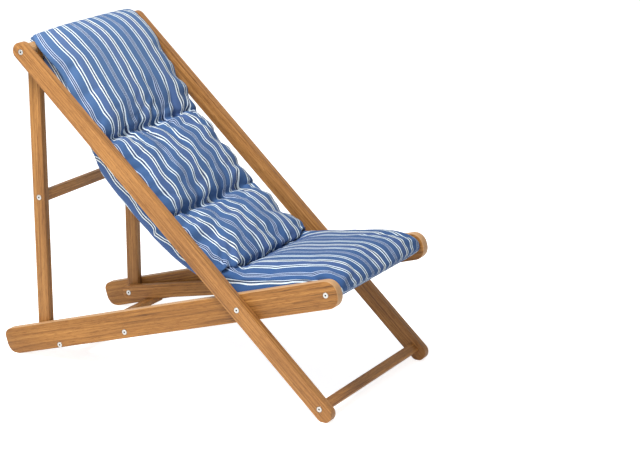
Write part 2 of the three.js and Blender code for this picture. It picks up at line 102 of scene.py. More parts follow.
def seen_rays(nodes, links, kinds):
    """1 where a ray is of one of the kinds, so that what is seen can differ from what gives light."""
    rays = nodes.new("ShaderNodeLightPath")
    seen = rays.outputs[kinds[0]]
    for kind in kinds[1:]:
        either = nodes.new("ShaderNodeMath")
        either.operation = "MAXIMUM"
        links.new(seen, either.inputs[0])
        links.new(rays.outputs[kind], either.inputs[1])
        seen = either.outputs["Value"]
    return seen


bpy.ops.object.select_all(action="DESELECT")
bpy.ops.mesh.primitive_plane_add(size=floor_size, location=(0, 0, 0))
floor = bpy.context.object
floor.name = "studio_floor"
floor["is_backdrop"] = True
floor_paint = bpy.data.materials.new("studio_floor_paint")
floor_paint.use_nodes = True
nodes, links = floor_paint.node_tree.nodes, floor_paint.node_tree.links
matt = nodes["Principled BSDF"]
matt.inputs["Base Color"].default_value = studio_white
matt.inputs["Roughness"].default_value = floor_roughness
glow = nodes.new("ShaderNodeEmission")
glow.inputs["Color"].default_value = pure_white
glow.inputs["Strength"].default_value = floor_glow
both = nodes.new("ShaderNodeAddShader")
chosen = nodes.new("ShaderNodeMixShader")
links.new(matt.outputs["BSDF"], both.inputs[0])
links.new(glow.outputs["Emission"], both.inputs[1])
links.new(seen_rays(nodes, links, ("Is Camera Ray", "Is Glossy Ray")), chosen.inputs["Fac"])
links.new(matt.outputs["BSDF"], chosen.inputs[1])
links.new(both.outputs["Shader"], chosen.inputs[2])
links.new(chosen.outputs["Shader"], nodes["Material Output"].inputs["Surface"])
floor.data.materials.append(floor_paint)

world = bpy.data.worlds.new("studio")
world.use_nodes = True
nodes, links = world.node_tree.nodes, world.node_tree.links
sky, white_sky = nodes["Background"], nodes.new("ShaderNodeBackground")
for light, strength in ((sky, sky_strength), (white_sky, seen_sky_strength)):
    light.inputs["Color"].default_value = pure_white
    light.inputs["Strength"].default_value = strength
chosen = nodes.new("ShaderNodeMixShader")
directly = ("Is Camera Ray", "Is Glossy Ray", "Is Transmission Ray")
links.new(seen_rays(nodes, links, directly), chosen.inputs["Fac"])
links.new(sky.outputs["Background"], chosen.inputs[1])
links.new(white_sky.outputs["Background"], chosen.inputs[2])
links.new(chosen.outputs["Shader"], nodes["World Output"].inputs["Surface"])
scene.world = world


def soft_lamp(name, place, size, watts):
    lamp = bpy.data.lights.new(name, "AREA")
    lamp.shape = "DISK"
    lamp.size = size
    lamp.energy = watts
    holder = bpy.data.objects.new(name, lamp)
    bpy.context.collection.objects.link(holder)
    holder.location = place
    holder.rotation_euler = (camera_target - Vector(place)).to_track_quat("-Z", "Y").to_euler()


soft_lamp("key_lamp", (-0.2, -2.1, 3.9), 1.5, 172)
soft_lamp("fill_lamp", (0.6, -4.2, 1.5), 2.5, 34)

# Seat rails
# Two long boards of oiled hardwood with rounded ends and eased edges, standing on the floor at the
# rear. They carry the seat at the front and are bored for bolts, whose heads sit in counterbores.
board_ease = 0.003
counterbore_radius, counterbore_depth = 0.0092, 0.0021
end_steps, ease_steps = 12, 3


def bolt_place(node):
    low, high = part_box(node)
    return Vector(((low.x + high.x) / 2, 0, (low.z + high.z) / 2))


main_pivot, front_bolt = bolt_place("main_pivot_bolt_left"), bolt_place("front_bar_bolt_left")
rear_bolt, stay_bolt = bolt_place("rear_stretcher_bolt_left"), bolt_place("stay_pivot_bolt_left")
head_bolt, foot_bolt = bolt_place("head_bolt_left"), bolt_place("foot_stretcher_bolt_left")
leg_bolt, prop_bolt = bolt_place("leg_pivot_bolt_left"), bolt_place("prop_stretcher_bolt_left")


def pick(board, kind, keep):
    """Selects the vertices, edges or faces of a board that keep says yes to, in edit mode."""
    bpy.ops.object.mode_set(mode="EDIT")
    bpy.ops.mesh.select_mode(type={"vertices": "VERT", "edges": "EDGE", "polygons": "FACE"}[kind])
    bpy.ops.mesh.select_all(action="DESELECT")
    bpy.ops.object.mode_set(mode="OBJECT")
    for part in getattr(board.data, kind):
        part.select = keep(part)
    bpy.ops.object.mode_set(mode="EDIT")


def edge_ends(board, edge):
    return [board.data.vertices[i].co for i in edge.vertices]


def eased_board(name, length, width, thickness, end_radii, ease):
    """A board about the origin with its length on X, rounded ends and eased edges."""
    bpy.ops.object.select_all(action="DESELECT")
    bpy.ops.mesh.primitive_cube_add(size=1)
    board = bpy.context.object
    board.name = name
    board.scale = (length, thickness, width)
    bpy.ops.object.transform_apply(location=False, rotation=False, scale=True)
    for (end, up), radius in end_radii.items():
        corner = lambda e: all(
            p.x * end > length / 2 - 1e-5 and p.z * up > width / 2 - 1e-5 for p in edge_ends(board, e))
        pick(board, "edges", corner)
        bpy.ops.mesh.bevel(offset=radius - 1e-5, segments=end_steps, affect="EDGES")
        bpy.ops.object.mode_set(mode="OBJECT")
    rim = lambda e: all(abs(p.y) > thickness / 2 - 1e-5 for p in edge_ends(board, e))
    pick(board, "edges", rim)
    bpy.ops.mesh.bevel(offset=ease, segments=ease_steps, affect="EDGES", clamp_overlap=True)
    bpy.ops.object.mode_set(mode="OBJECT")
    return board


def counterbore(board, places, side, thickness):
    """Sinks a recess for each bolt head into the board's face on one side, at places along X and Z."""
    for x, z in places:
        bpy.ops.object.select_all(action="DESELECT")
        bpy.ops.mesh.primitive_cylinder_add(
            vertices=40, radius=counterbore_radius, depth=2 * counterbore_depth,
            location=(x, side * thickness / 2, z), rotation=(math.pi / 2, 0, 0))
        drill = bpy.context.object
        bpy.ops.object.select_all(action="DESELECT")
        bpy.context.view_layer.objects.active = board
        board.select_set(True)
        hole = board.modifiers.new("counterbore", "BOOLEAN")
        hole.operation, hole.solver, hole.object = "DIFFERENCE", "EXACT", drill
        bpy.ops.object.modifier_apply(modifier=hole.name)
        bpy.data.objects.remove(drill)


def mark_wear_and_highlight(board, thickness, ease):
    """Marks the eased edges, which hands and weather have rubbed paler and which also carry a painted
    highlight.
    """
    lit_worn_marks = board.data.attributes.new("worn_highlit_edge", "FLOAT", "POINT")
    inner, outer = thickness / 2 - ease * 0.9, thickness / 2 - ease * 0.05
    lit_worn_marks.data.foreach_set("value", [float(inner < abs(v.co.y) < outer) for v in board.data.vertices])


def lay_board(board, start, end, before, after, layer):
    """Lays a board's length on the line from start to end, its middle at a distance across the chair."""
    along = (end - start).normalized()
    middle = (start - along * before + end + along * after) / 2
    board.rotation_euler = (0, -math.atan2(along.z, along.x), 0)
    board.location = (middle.x, layer, middle.z)
    bpy.ops.object.select_all(action="DESELECT")
    board.select_set(True)
    bpy.context.view_layer.objects.active = board
    bpy.ops.object.transform_apply(location=True, rotation=True, scale=True)
    bpy.ops.object.shade_smooth_by_angle(angle=math.radians(32))


def lined_up(nodes, kind, **values):
    """A new node with the values set on its inputs or, where it has no such input, on the node."""
    node = nodes.new(kind)
    for name, value in values.items():
        if name in node.inputs:
            node.inputs[name].default_value = value
        else:
            setattr(node, name, value)
    return node


def spread_noise(nodes, links, vector, scale, **values):
    """Noise on a place that is stretched by the scale."""
    mapping = lined_up(nodes, "ShaderNodeMapping", Scale=scale)
    noise = lined_up(nodes, "ShaderNodeTexNoise", Scale=1.0, **values)
    links.new(vector, mapping.inputs["Vector"])
    links.new(mapping.outputs["Vector"], noise.inputs["Vector"])
    return noise.outputs["Fac"]


def toned(nodes, links, value, stops):
    """Colours for a value, through stops of a position and a colour."""
    ramp = nodes.new("ShaderNodeValToRGB")
    while len(ramp.color_ramp.elements) < len(stops):
        ramp.color_ramp.elements.new(1.0)
    for stop, (position, colour) in zip(ramp.color_ramp.elements, stops):
        stop.position, stop.color = position, (*colour, 1)
    links.new(value, ramp.inputs["Fac"])
    return ramp.outputs["Color"]


def multiplied(nodes, links, below, above, share=1):
    mix = nodes.new("ShaderNodeMix")
    mix.data_type, mix.blend_type = "RGBA", "MULTIPLY"
    mix.inputs["Factor"].default_value = share
    links.new(below, mix.inputs["A"])
    links.new(above, mix.inputs["B"])
    return mix.outputs["Result"]


def embossed(nodes, links, reliefs, shader):
    """Gives the shader fine relief, each from a height, a strength and a distance, one on the other."""
    normal = None
    for height, strength, distance in reliefs:
        bump = lined_up(nodes, "ShaderNodeBump", Strength=strength, Distance=distance)
        links.new(height, bump.inputs["Height"])
        if normal:
            links.new(normal, bump.inputs["Normal"])
        normal = bump.outputs["Normal"]
    links.new(normal, shader.inputs["Normal"])


def roughened(nodes, links, value, low, high, shader):
    dull = lined_up(nodes, "ShaderNodeMapRange")
    dull.inputs["To Min"].default_value, dull.inputs["To Max"].default_value = low, high
    links.new(value, dull.inputs["Value"])
    links.new(dull.outputs["Result"], shader.inputs["Roughness"])


wood_tones = [(0.31, (0.150, 0.064, 0.020)), (0.41, (0.350, 0.160, 0.047)),
              (0.54, (0.465, 0.220, 0.066)), (0.70, (0.590, 0.310, 0.112))]
cloud_tones = [(0.32, (0.80, 0.74, 0.68)), (0.66, (1.08, 1.04, 1.0))]
ring_tones = [(0.0, (1.0, 1.0, 1.0)), (0.12, (1.06, 1.04, 1.02)),
              (0.72, (0.95, 0.93, 0.90)), (1.0, (0.60, 0.52, 0.44))]
pore_tones = [(0.36, (0.5, 0.42, 0.36)), (0.46, (1, 1, 1))]
ring_count_in_board, ring_share, pore_share, wear_and_highlight_depth = 10, 0.62, 0.8, 0.55
# the colour of the eased edges: paler partly from rubbed wear, partly as a painted highlight
rubbed_lit_wood_colour = (0.70, 0.43, 0.22, 1)


def oiled_wood(name, slope, shift, crosswise=False, tint=(1, 1, 0.94)):
    """Oiled hardwood with its grain along a board that slopes by the given angle."""
    wood = bpy.data.materials.new(name)
    wood.use_nodes = True
    nodes, links = wood.node_tree.nodes, wood.node_tree.links
    shader = nodes["Principled BSDF"]
    place = nodes.new("ShaderNodeTexCoord")
    turn = (0, 0, math.pi / 2) if crosswise else (0, slope, 0)
    laid = lined_up(nodes, "ShaderNodeMapping", Location=shift, Rotation=turn)
    links.new(place.outputs["Object"], laid.inputs["Vector"])
    grain_way = laid.outputs["Vector"]
    streaks = spread_noise(nodes, links, grain_way, (2.4, 170, 170), Detail=6.0, Roughness=0.66)
    clouds = spread_noise(nodes, links, grain_way, (3.2, 16, 16), Detail=3.0, Roughness=0.5)
    figure = spread_noise(nodes, links, grain_way, (0.5, 20, 20), Detail=2.5, Roughness=0.5, Distortion=0.3)
    pores = spread_noise(nodes, links, grain_way, (38, 900, 900), Detail=2.0, Roughness=0.6)
    layers = lined_up(nodes, "ShaderNodeMath", operation="MULTIPLY")
    layers.inputs[1].default_value = ring_count_in_board
    rings = lined_up(nodes, "ShaderNodeMath", operation="FRACT")
    links.new(figure, layers.inputs[0])
    links.new(layers.outputs["Value"], rings.inputs[0])

    tinted = [(position, tuple(c * t for c, t in zip(colour, tint))) for position, colour in wood_tones]
    colour = toned(nodes, links, streaks, [(0, (0, 0, 0))] + tinted)
    for value, tones, share in (
        (clouds, cloud_tones, 1), (rings.outputs["Value"], ring_tones, ring_share),
        (pores, pore_tones, pore_share),
    ):
        colour = multiplied(nodes, links, colour, toned(nodes, links, value, tones), share)
    # the eased edges are mixed towards a paler colour: partly rubbed wear, partly a painted highlight
    rubbed_and_lit = nodes.new("ShaderNodeMix")
    rubbed_and_lit.data_type = "RGBA"
    rubbed_and_lit.inputs["B"].default_value = rubbed_lit_wood_colour
    lit_wear_mask = lined_up(nodes, "ShaderNodeAttribute", attribute_name="worn_highlit_edge")
    lit_wear_share = lined_up(nodes, "ShaderNodeMath", operation="MULTIPLY")
    lit_wear_share.inputs[1].default_value = wear_and_highlight_depth
    links.new(lit_wear_mask.outputs["Fac"], lit_wear_share.inputs[0])
    links.new(lit_wear_share.outputs["Value"], rubbed_and_lit.inputs["Factor"])
    links.new(colour, rubbed_and_lit.inputs["A"])
    links.new(rubbed_and_lit.outputs["Result"], shader.inputs["Base Color"])
    roughened(nodes, links, streaks, 0.38, 0.62, shader)
    shader.inputs["Specular IOR Level"].default_value = 0.35
    embossed(nodes, links, ((streaks, 0.25, 0.0006), (pores, 0.3, 0.0003)), shader)
    return wood


def slope_of(start, end):
    return math.atan2(end.z - start.z, end.x - start.x)


def along_board(place, start, end, length, before):
    """A bolt's place on a board that is still about the origin."""
    way = (end - start).normalized()
    up = Vector((-way.z, 0, way.x))
    away = place - start
    return away.dot(way) + before - length / 2, away.dot(up)


rail_length, rail_height, rail_thickness = 1.183, 0.080, 0.028
rail_rear_radius, rail_end_radius = 0.023, 0.036
rail_before_pivot = 0.865
rail_layer = (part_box("seat_rail_left")[0].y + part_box("seat_rail_left")[1].y) / 2
rail_after_front = rail_length - rail_before_pivot - (front_bolt - main_pivot).length
for side, sign in (("right", -1), ("left", 1)):
    rail = eased_board("oiled_seat_rail_" + side, rail_length, rail_height, rail_thickness, {
        (-1, 1): rail_rear_radius, (1, 1): rail_end_radius,
        (-1, -1): rail_end_radius, (1, -1): rail_end_radius}, board_ease)
    spots = [along_board(p, main_pivot, front_bolt, rail_length, rail_before_pivot)
             for p in (front_bolt, rear_bolt, stay_bolt)]
    counterbore(rail, spots, sign, rail_thickness)
    mark_wear_and_highlight(rail, rail_thickness, board_ease)
    lay_board(rail, main_pivot, front_bolt, rail_before_pivot, rail_after_front, sign * rail_layer)
    rail.data.materials.append(oiled_wood(
        "seat_rail_wood_" + side, slope_of(main_pivot, front_bolt),
        (0.3, sign * 0.7, 0.11 + 0.4 * sign), tint=(0.88, 0.87, 0.72)))
    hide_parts("seat_rail_" + side)
    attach(rail, "seat_frame")

# Back rails
# Two narrower boards, rounded at both ends, that cross outside the seat rails and stand on the
# floor at the front. Their heads carry the head bar, and the main pivot bolts go through them.
back_width, back_thickness = 0.0505, 0.024
back_before, back_after = 0.003 + back_width / 2, 0.018 + back_width / 2
back_length = (foot_bolt - head_bolt).length + back_before + back_after
back_layer = (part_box("back_rail_left")[0].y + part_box("back_rail_left")[1].y) / 2
for side, sign in (("right", -1), ("left", 1)):
    rail = eased_board("oiled_back_rail_" + side, back_length, back_width, back_thickness, {
        (end, up): back_width / 2 - 1e-5 for end in (-1, 1) for up in (-1, 1)}, board_ease)
    spots = [along_board(p, head_bolt, foot_bolt, back_length, back_before)
             for p in (head_bolt, main_pivot, foot_bolt)]
    counterbore(rail, spots, sign, back_thickness)
    mark_wear_and_highlight(rail, back_thickness, board_ease)
    lay_board(rail, head_bolt, foot_bolt, back_before, back_after, sign * back_layer)
    rail.data.materials.append(oiled_wood(
        "back_rail_wood_" + side, slope_of(head_bolt, foot_bolt), (1.7 * sign, 0.2, 0.9),
        tint=(1.03, 1.06, 1.06)))
    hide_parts("back_rail_" + side)
    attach(rail, "back_frame")

# Prop legs
# Two light boards that hang from the head bar inside the back rails, down to the stays. Each turns on
# a pin at its head and on a bolt at its foot, and a stretcher is bolted between them.
leg_width, leg_thickness = 0.040, 0.021
leg_before, leg_after, leg_foot_radius = leg_width / 2, 0.026, 0.008
leg_length = (leg_bolt - head_bolt).length + leg_before + leg_after
leg_layer = (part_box("prop_leg_left")[0].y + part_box("prop_leg_left")[1].y) / 2
for side, sign in (("right", -1), ("left", 1)):
    leg = eased_board("oiled_prop_leg_" + side, leg_length, leg_width, leg_thickness, {
        (-1, 1): leg_width / 2 - 1e-5, (-1, -1): leg_width / 2 - 1e-5,
        (1, 1): leg_foot_radius, (1, -1): leg_foot_radius}, board_ease)
    spots = [along_board(p, head_bolt, leg_bolt, leg_length, leg_before) for p in (prop_bolt, leg_bolt)]
    counterbore(leg, spots, sign, leg_thickness)
    mark_wear_and_highlight(leg, leg_thickness, board_ease)
    lay_board(leg, head_bolt, leg_bolt, leg_before, leg_after, sign * leg_layer)
    leg.data.materials.append(oiled_wood(
        "prop_leg_wood_" + side, slope_of(head_bolt, leg_bolt), (0.5, 1.3 * sign, 2.2),
        tint=(0.90, 0.93, 0.90)))
    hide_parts("prop_leg_" + side)
    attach(leg, "prop")

# Stays
# Two short boards with round ends inside the legs. They hold the legs' feet and rest on the rear
# stretcher.
stay_width, stay_thickness = 0.044, 0.022
stay_beyond = stay_width / 2
stay_length = (stay_bolt - leg_bolt).length + 2 * stay_beyond
stay_layer = (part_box("stay_left")[0].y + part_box("stay_left")[1].y) / 2
for side, sign in (("right", -1), ("left", 1)):
    stay = eased_board("oiled_stay_" + side, stay_length, stay_width, stay_thickness, {
        (end, up): stay_width / 2 - 1e-5 for end in (-1, 1) for up in (-1, 1)}, board_ease)
    spots = [along_board(p, leg_bolt, stay_bolt, stay_length, stay_beyond) for p in (leg_bolt, stay_bolt)]
    counterbore(stay, spots, -sign, stay_thickness)
    mark_wear_and_highlight(stay, stay_thickness, board_ease)
    lay_board(stay, leg_bolt, stay_bolt, stay_beyond, stay_beyond, sign * stay_layer)
    stay.data.materials.append(
        oiled_wood("stay_wood_" + side, slope_of(leg_bolt, stay_bolt), (3.1, 0.4 * sign, 1.2)))
    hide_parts("stay_" + side)
    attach(stay, "stays")

# Cross bars
# Round bars in the sling's sleeves at the head and the front, and flat stretchers between the
# seat rails, the prop legs and the front feet. All are bolted through the rails into brass inserts.
bar_wood = oiled_wood("bar_wood", 0, (0.1, 0.5, 0.7), crosswise=True)
for node in ("head_bar", "front_bar", "rear_stretcher", "prop_stretcher", "foot_stretcher"):
    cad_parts[node].data.materials.clear()
    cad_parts[node].data.materials.append(bar_wood)

# Bolts and sleeve nuts
# Low round heads of stainless steel with six-sided sockets, sunk into the boards. The joints that
# turn are bolts in sleeve nuts, and the bolts of the cross bars go into inserts in the bars' ends.
head_radius, head_thickness, head_rounding = 0.0080, 0.0024, 0.0009
socket_radius, socket_depth, socket_sides = 0.0029, 0.0017, 6
shank_radius, sleeve_radius, sleeve_bore, closed_end = 0.0030, 0.0045, 0.0033, 0.0041
head_sides, rounding_steps = 48, 4
steel_tones = [(0.3, (0.40, 0.39, 0.37)), (0.7, (0.66, 0.65, 0.62))]
# near black painted into the bottom of each hex socket as painted shade
socket_shade_colour = (0.035, 0.030, 0.026, 1)
steel = bpy.data.materials.new("brushed_steel")
steel.use_nodes = True
nodes, links = steel.node_tree.nodes, steel.node_tree.links
shader = nodes["Principled BSDF"]
place = nodes.new("ShaderNodeTexCoord")
scuffs = spread_noise(nodes, links, place.outputs["Object"], (1400, 1400, 1400), Detail=4.0, Roughness=0.7)
socket_shade = lined_up(nodes, "ShaderNodeAttribute", attribute_name="socket_shade")
shaded_socket = nodes.new("ShaderNodeMix")
shaded_socket.data_type = "RGBA"
shaded_socket.inputs["B"].default_value = socket_shade_colour
links.new(socket_shade.outputs["Fac"], shaded_socket.inputs["Factor"])
links.new(toned(nodes, links, scuffs, steel_tones), shaded_socket.inputs["A"])
links.new(shaded_socket.outputs["Result"], shader.inputs["Base Color"])
roughened(nodes, links, scuffs, 0.28, 0.52, shader)
shader.inputs["Metallic"].default_value = 1
embossed(nodes, links, ((scuffs, 0.2, 0.0001),), shader)


def headed_piece(name, length, sleeve):
    """A head whose top is at the origin and faces up, with its shank or bored sleeve below it."""
    bpy.ops.object.select_all(action="DESELECT")
    bpy.ops.mesh.primitive_cylinder_add(
        vertices=head_sides, radius=head_radius, depth=head_thickness, location=(0, 0, -head_thickness / 2))
    piece = bpy.context.object
    piece.name = name
    bpy.ops.object.transform_apply(location=True, rotation=True, scale=True)
    pick(piece, "edges", lambda e: all(p.z > -1e-6 for p in edge_ends(piece, e)))
    bpy.ops.mesh.bevel(offset=head_rounding, segments=rounding_steps, affect="EDGES")
    bpy.ops.object.mode_set(mode="OBJECT")
    pick(piece, "polygons", lambda f: f.center.z < -head_thickness + 1e-6 and f.normal.z < -0.9)
    bpy.ops.mesh.inset(thickness=head_radius - (sleeve_radius if sleeve else shank_radius))
    bpy.ops.mesh.extrude_region_move(TRANSFORM_OT_translate={"value": (0, 0, head_thickness - length)})
    if sleeve:
        bpy.ops.mesh.inset(thickness=sleeve_radius - sleeve_bore)
        bpy.ops.mesh.extrude_region_move(TRANSFORM_OT_translate={"value": (0, 0, length - closed_end)})
    bpy.ops.object.mode_set(mode="OBJECT")
    bpy.ops.object.select_all(action="DESELECT")
    bpy.ops.mesh.primitive_cylinder_add(
        vertices=socket_sides, radius=socket_radius, depth=2 * socket_depth, location=(0, 0, 0))
    key = bpy.context.object
    bpy.ops.object.select_all(action="DESELECT")
    bpy.context.view_layer.objects.active = piece
    piece.select_set(True)
    recess = piece.modifiers.new("socket", "BOOLEAN")
    recess.operation, recess.solver, recess.object = "DIFFERENCE", "EXACT", key
    bpy.ops.object.modifier_apply(modifier=recess.name)
    bpy.data.objects.remove(key)
    # the vertices deep in the socket are marked to be painted near black, as painted shade
    socket_shade_mask = piece.data.attributes.new("socket_shade", "FLOAT", "POINT")
    socket_shade_mask.data.foreach_set("value", [
        float(v.co.z < -socket_depth / 2 and v.co.xy.length < socket_radius + 1e-5)
        for v in piece.data.vertices])
    piece.data.materials.append(steel)
    return piece


for name, body, out, sleeve in (
    ("front_bar_bolt", "seat_frame", 1, False), ("rear_stretcher_bolt", "seat_frame", 1, False),
    ("stay_pivot_bolt", "seat_frame", 1, False), ("stay_pivot_nut", "seat_frame", -1, True),
    ("head_bolt", "back_frame", 1, False), ("foot_stretcher_bolt", "back_frame", 1, False),
    ("main_pivot_bolt", "back_frame", 1, False), ("main_pivot_nut", "back_frame", -1, True),
    ("leg_pivot_bolt", "stays", -1, False), ("leg_pivot_nut", "stays", 1, True),
    ("prop_stretcher_bolt", "prop", 1, False),
):
    low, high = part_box(name + "_left")
    first = headed_piece("steel_" + name + "_left", high.y - low.y, sleeve)
    second = first.copy()
    second.data = first.data.copy()
    second.name = "steel_" + name + "_right"
    bpy.context.collection.objects.link(second)
    for piece, side, sign in ((first, "left", 1), (second, "right", -1)):
        faces_way = out * sign
        piece.rotation_euler = (-faces_way * math.pi / 2, 0, 0)
        piece.location = ((low.x + high.x) / 2, sign * (high.y if out > 0 else low.y), (low.z + high.z) / 2)
        bpy.ops.object.select_all(action="DESELECT")
        piece.select_set(True)
        bpy.context.view_layer.objects.active = piece
        bpy.ops.object.transform_apply(location=True, rotation=True, scale=True)
        bpy.ops.object.shade_smooth_by_angle(angle=math.radians(35))
        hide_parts(name + "_" + side)
        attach(piece, body)

# Washers, bushes, inserts, pins and spacers
# Small turned parts between the boards and inside the bars: nylon washers, steel bushes and pins,
# brass inserts, and round spacers of paler wood beside the head bar. They keep their CAD shapes.


def turned_finish(name, dark, light, scale, rough, metallic=0):
    """A small turned part's finish: two close tones that change with fine marks of the tool."""
    finish = bpy.data.materials.new(name)
    finish.use_nodes = True
    nodes, links = finish.node_tree.nodes, finish.node_tree.links
    shader = nodes["Principled BSDF"]
    place = nodes.new("ShaderNodeTexCoord")
    marks = spread_noise(nodes, links, place.outputs["Object"], scale, Detail=4.0, Roughness=0.6)
    links.new(toned(nodes, links, marks, [(0.32, dark), (0.68, light)]), shader.inputs["Base Color"])
    roughened(nodes, links, marks, *rough, shader)
    shader.inputs["Metallic"].default_value = metallic
    embossed(nodes, links, ((marks, 0.2, 0.0002),), shader)
    return finish


nylon = turned_finish(
    "washer_nylon_worn", (0.030, 0.029, 0.027), (0.055, 0.052, 0.048), (600, 600, 600), (0.45, 0.65))
brass = turned_finish(
    "insert_brass_dull", (0.30, 0.20, 0.07), (0.48, 0.34, 0.13), (900, 200, 900), (0.35, 0.55), metallic=1)
pin_steel = turned_finish(
    "pin_steel", (0.35, 0.34, 0.33), (0.58, 0.57, 0.55), (900, 90, 900), (0.3, 0.5), metallic=1)
spacer_wood = turned_finish(
    "spacer_wood", (0.40, 0.21, 0.085), (0.60, 0.36, 0.17), (320, 26, 320), (0.5, 0.7))
for finish, names in (
    (nylon, ("leg_pivot_washer", "main_pivot_washer")), (pin_steel, ("stay_pivot_bush", "head_pin")),
    (brass, ("foot_stretcher_insert", "front_bar_insert", "head_insert", "prop_stretcher_insert",
             "rear_stretcher_insert")),
    (spacer_wood, ("head_spacer",)),
):
    for name in names:
        for side in ("left", "right"):
            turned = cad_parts[name + "_" + side]
            turned.data.materials.clear()
            turned.data.materials.append(finish)

# Sling
# One long quilted pad of striped cotton over fibre filling, sleeved over the head bar and the front
# bar. Two seams and a deep crease cross it, and tufts gather the cloth along them. The cotton is cut
# longer than the filling, so it ripples between the seams.
back_top_shares = [
    (-0.039, 0.06), (-0.032, 0.34), (-0.008, 0.53), (0.026, 0.61), (0.062, 0.63), (0.113, 0.55),
    (0.206, 0.29), (0.293, 0.08), (0.335, -0.05), (0.349, -0.24), (0.363, -0.07), (0.412, 0.01),
    (0.495, 0), (0.581, -0.03), (0.633, -0.09), (0.647, -0.28), (0.661, -0.11), (0.722, 0),
    (0.784, 0.06), (0.843, 0.19), (0.886, 0.27),
]
back_under_shares = [
    (-0.039, -0.04), (-0.032, -0.18), (-0.008, -0.27), (0.026, -0.31), (0.062, -0.37), (0.119, -0.49),
    (0.211, -0.75), (0.299, -0.94), (0.34, -1.01), (0.356, -1.03), (0.373, -1.06), (0.42, -1.12),
    (0.505, -1.17), (0.588, -1.17), (0.637, -1.15), (0.656, -1.14), (0.675, -1.13), (0.732, -1.07),
    (0.799, -0.91), (0.864, -0.67), (0.912, -0.44),
]
seat_top_shares = [
    (-0.012, 0.955), (0.101, 1.01), (0.232, 0.98), (0.395, 0.9), (0.559, 0.84), (0.722, 0.78),
    (0.886, 0.69), (1, 0.57), (1.075, 0.42), (1.121, 0.22), (1.114, 0.02), (1.082, -0.1),
]
seat_under_shares = [
    (-0.042, 0.24), (0.052, 0.15), (0.216, 0.08), (0.395, 0.05), (0.559, 0.03), (0.722, 0),
    (0.869, -0.09), (0.951, -0.18), (1, -0.21), (1.029, -0.2), (1.052, -0.17), (1.065, -0.14),
]
seam_stations = (9, 15, 21)
width_shares = [0, 0, 0, 0, 0.1, 0.6] + [1] * 28
head_overhang_shares = [1, 1, 1, 0.95, 0.8, 0.6, 0.55, 0.55, 0.55, 0.5, 0.35, 0.1] + [0] * 22
far_droop_shares = [1, 1, 1, 1, 0.9, 0.5, 0.1] + [0] * 27
sling_half_width, sling_head_half_width = 0.239, 0.2155
head_overhang_far = 0.034  # the pad has slipped along the head bar
near_half_widths = [0.2225, 0.236, 0.251, 0.260, 0.257, 0.243] + [0.239] * 28
leg_room_along = [-0.050, 0.020, 0.060, 0.100, 0.150, 0.200, 0.250, 0.300, 0.360, 0.400, 0.430,
                  0.820, 0.850, 0.880, 0.905, 0.930]
leg_room_above = [0.0235, 0.0235, 0.022, 0.014, -0.002, -0.022, -0.044, -0.068, -0.095, -0.112, -0.160,
                  -0.160, -0.078, -0.050, -0.040, -0.200]  # the folded legs lie below this
leg_room_step, leg_room_held = 0.004, 0.022
head_droop, head_droop_far = 0.009, 0.003  # the pad is thinner at its sides near the head
droop_shares = [1, 1, 1, 1, 1, 0.85, 0.6, 0.3, 0.1] + [0] * 25
far_seam_fill = 0.011  # the seams are shallow at the far edge
near_crease_fill, crumple_depth, crumple_bend = 0.025, 0.0038, 0.0028
crumple_length, small_crumple_length = 0.036, 0.027
crease_climb, wall_hollow, near_edge_drop = 0.024, 0.011, 0.016
tuft_places = [(-0.205, -0.113, -0.040, 0.030, 0.090, 0.153, 0.212),
               (-0.212, -0.137, -0.053, 0.010, 0.070, 0.172),
               (-0.222, -0.137, -0.075, -0.027, 0.074, 0.140, 0.213)]
seam_grooves, seam_gathers = (0.004, 0.004, 0.003), (0.0018, 0.0024, 0.0036)
gather_length, small_gather_length = 0.029, 0.017
tuft_depth, tuft_fold_depth, tuft_draw = 0.009, 0.0034, 0.013
tuft_reach_along, tuft_reach_across = 0.020, 0.016
ripple_depth, small_ripple_depth, stripe_bend = 0.0052, 0.0018, 0.0052
ripple_length, small_ripple_length, stripe_bend_length = 0.098, 0.047, 0.094
pad_depth, upper_back = 0.100, 0.970
crease_above, crease_behind, crease_tuck = 0.099, 0.034, 0.028
crease_under_behind, crease_under_above = 0.0566, 0.0321
rail_way = (front_bolt - main_pivot).normalized()
rail_up = Vector((-rail_way.z, 0, rail_way.x))
back_way = (foot_bolt - head_bolt).normalized()
back_up = Vector((-back_way.z, 0, back_way.x))
seat_depth = (front_bolt - main_pivot).length + crease_behind
crease_foot = main_pivot - rail_way * crease_behind
tuck_way = back_up * 0.86 + back_way * 0.5
crease = crease_foot + rail_up * crease_above - tuck_way * crease_tuck
crease_under = main_pivot - rail_way * crease_under_behind + rail_up * crease_under_above


def on_back(shares):
    return [head_bolt + back_way * (a * upper_back) + back_up * (b * pad_depth) for a, b in shares]


def on_seat(shares):
    return [crease_foot + rail_way * (a * seat_depth) + rail_up * (b * pad_depth) for a, b in shares]


top_stations = np.array(on_back(back_top_shares) + [crease] + on_seat(seat_top_shares))[:, [0, 2]]
under_stations = np.array(on_back(back_under_shares) + [crease_under] + on_seat(seat_under_shares))[:, [0, 2]]
width_stations = sling_head_half_width + (sling_half_width - sling_head_half_width) * np.array(width_shares)


def smooth_through(stations, where):
    """Values on a smooth line through the stations, at positions counted in stations."""
    stations = np.asarray(stations, float)
    padded = np.concatenate([2 * stations[:1] - stations[1:2], stations, 2 * stations[-1:] - stations[-2:-1]])
    k = np.clip(where.astype(int), 0, len(stations) - 2)
    t = where - k
    if stations.ndim > 1:
        t = t[:, None]
    a, b, c, d = padded[k], padded[k + 1], padded[k + 2], padded[k + 3]
    return 0.5 * (
        2 * b + (c - a) * t + (2 * a - 5 * b + 4 * c - d) * t ** 2 + (3 * b - a - 3 * c + d) * t ** 3)


def eased(value, low, high):
    t = np.clip((value - low) / (high - low), 0, 1)
    return t * t * (3 - 2 * t)


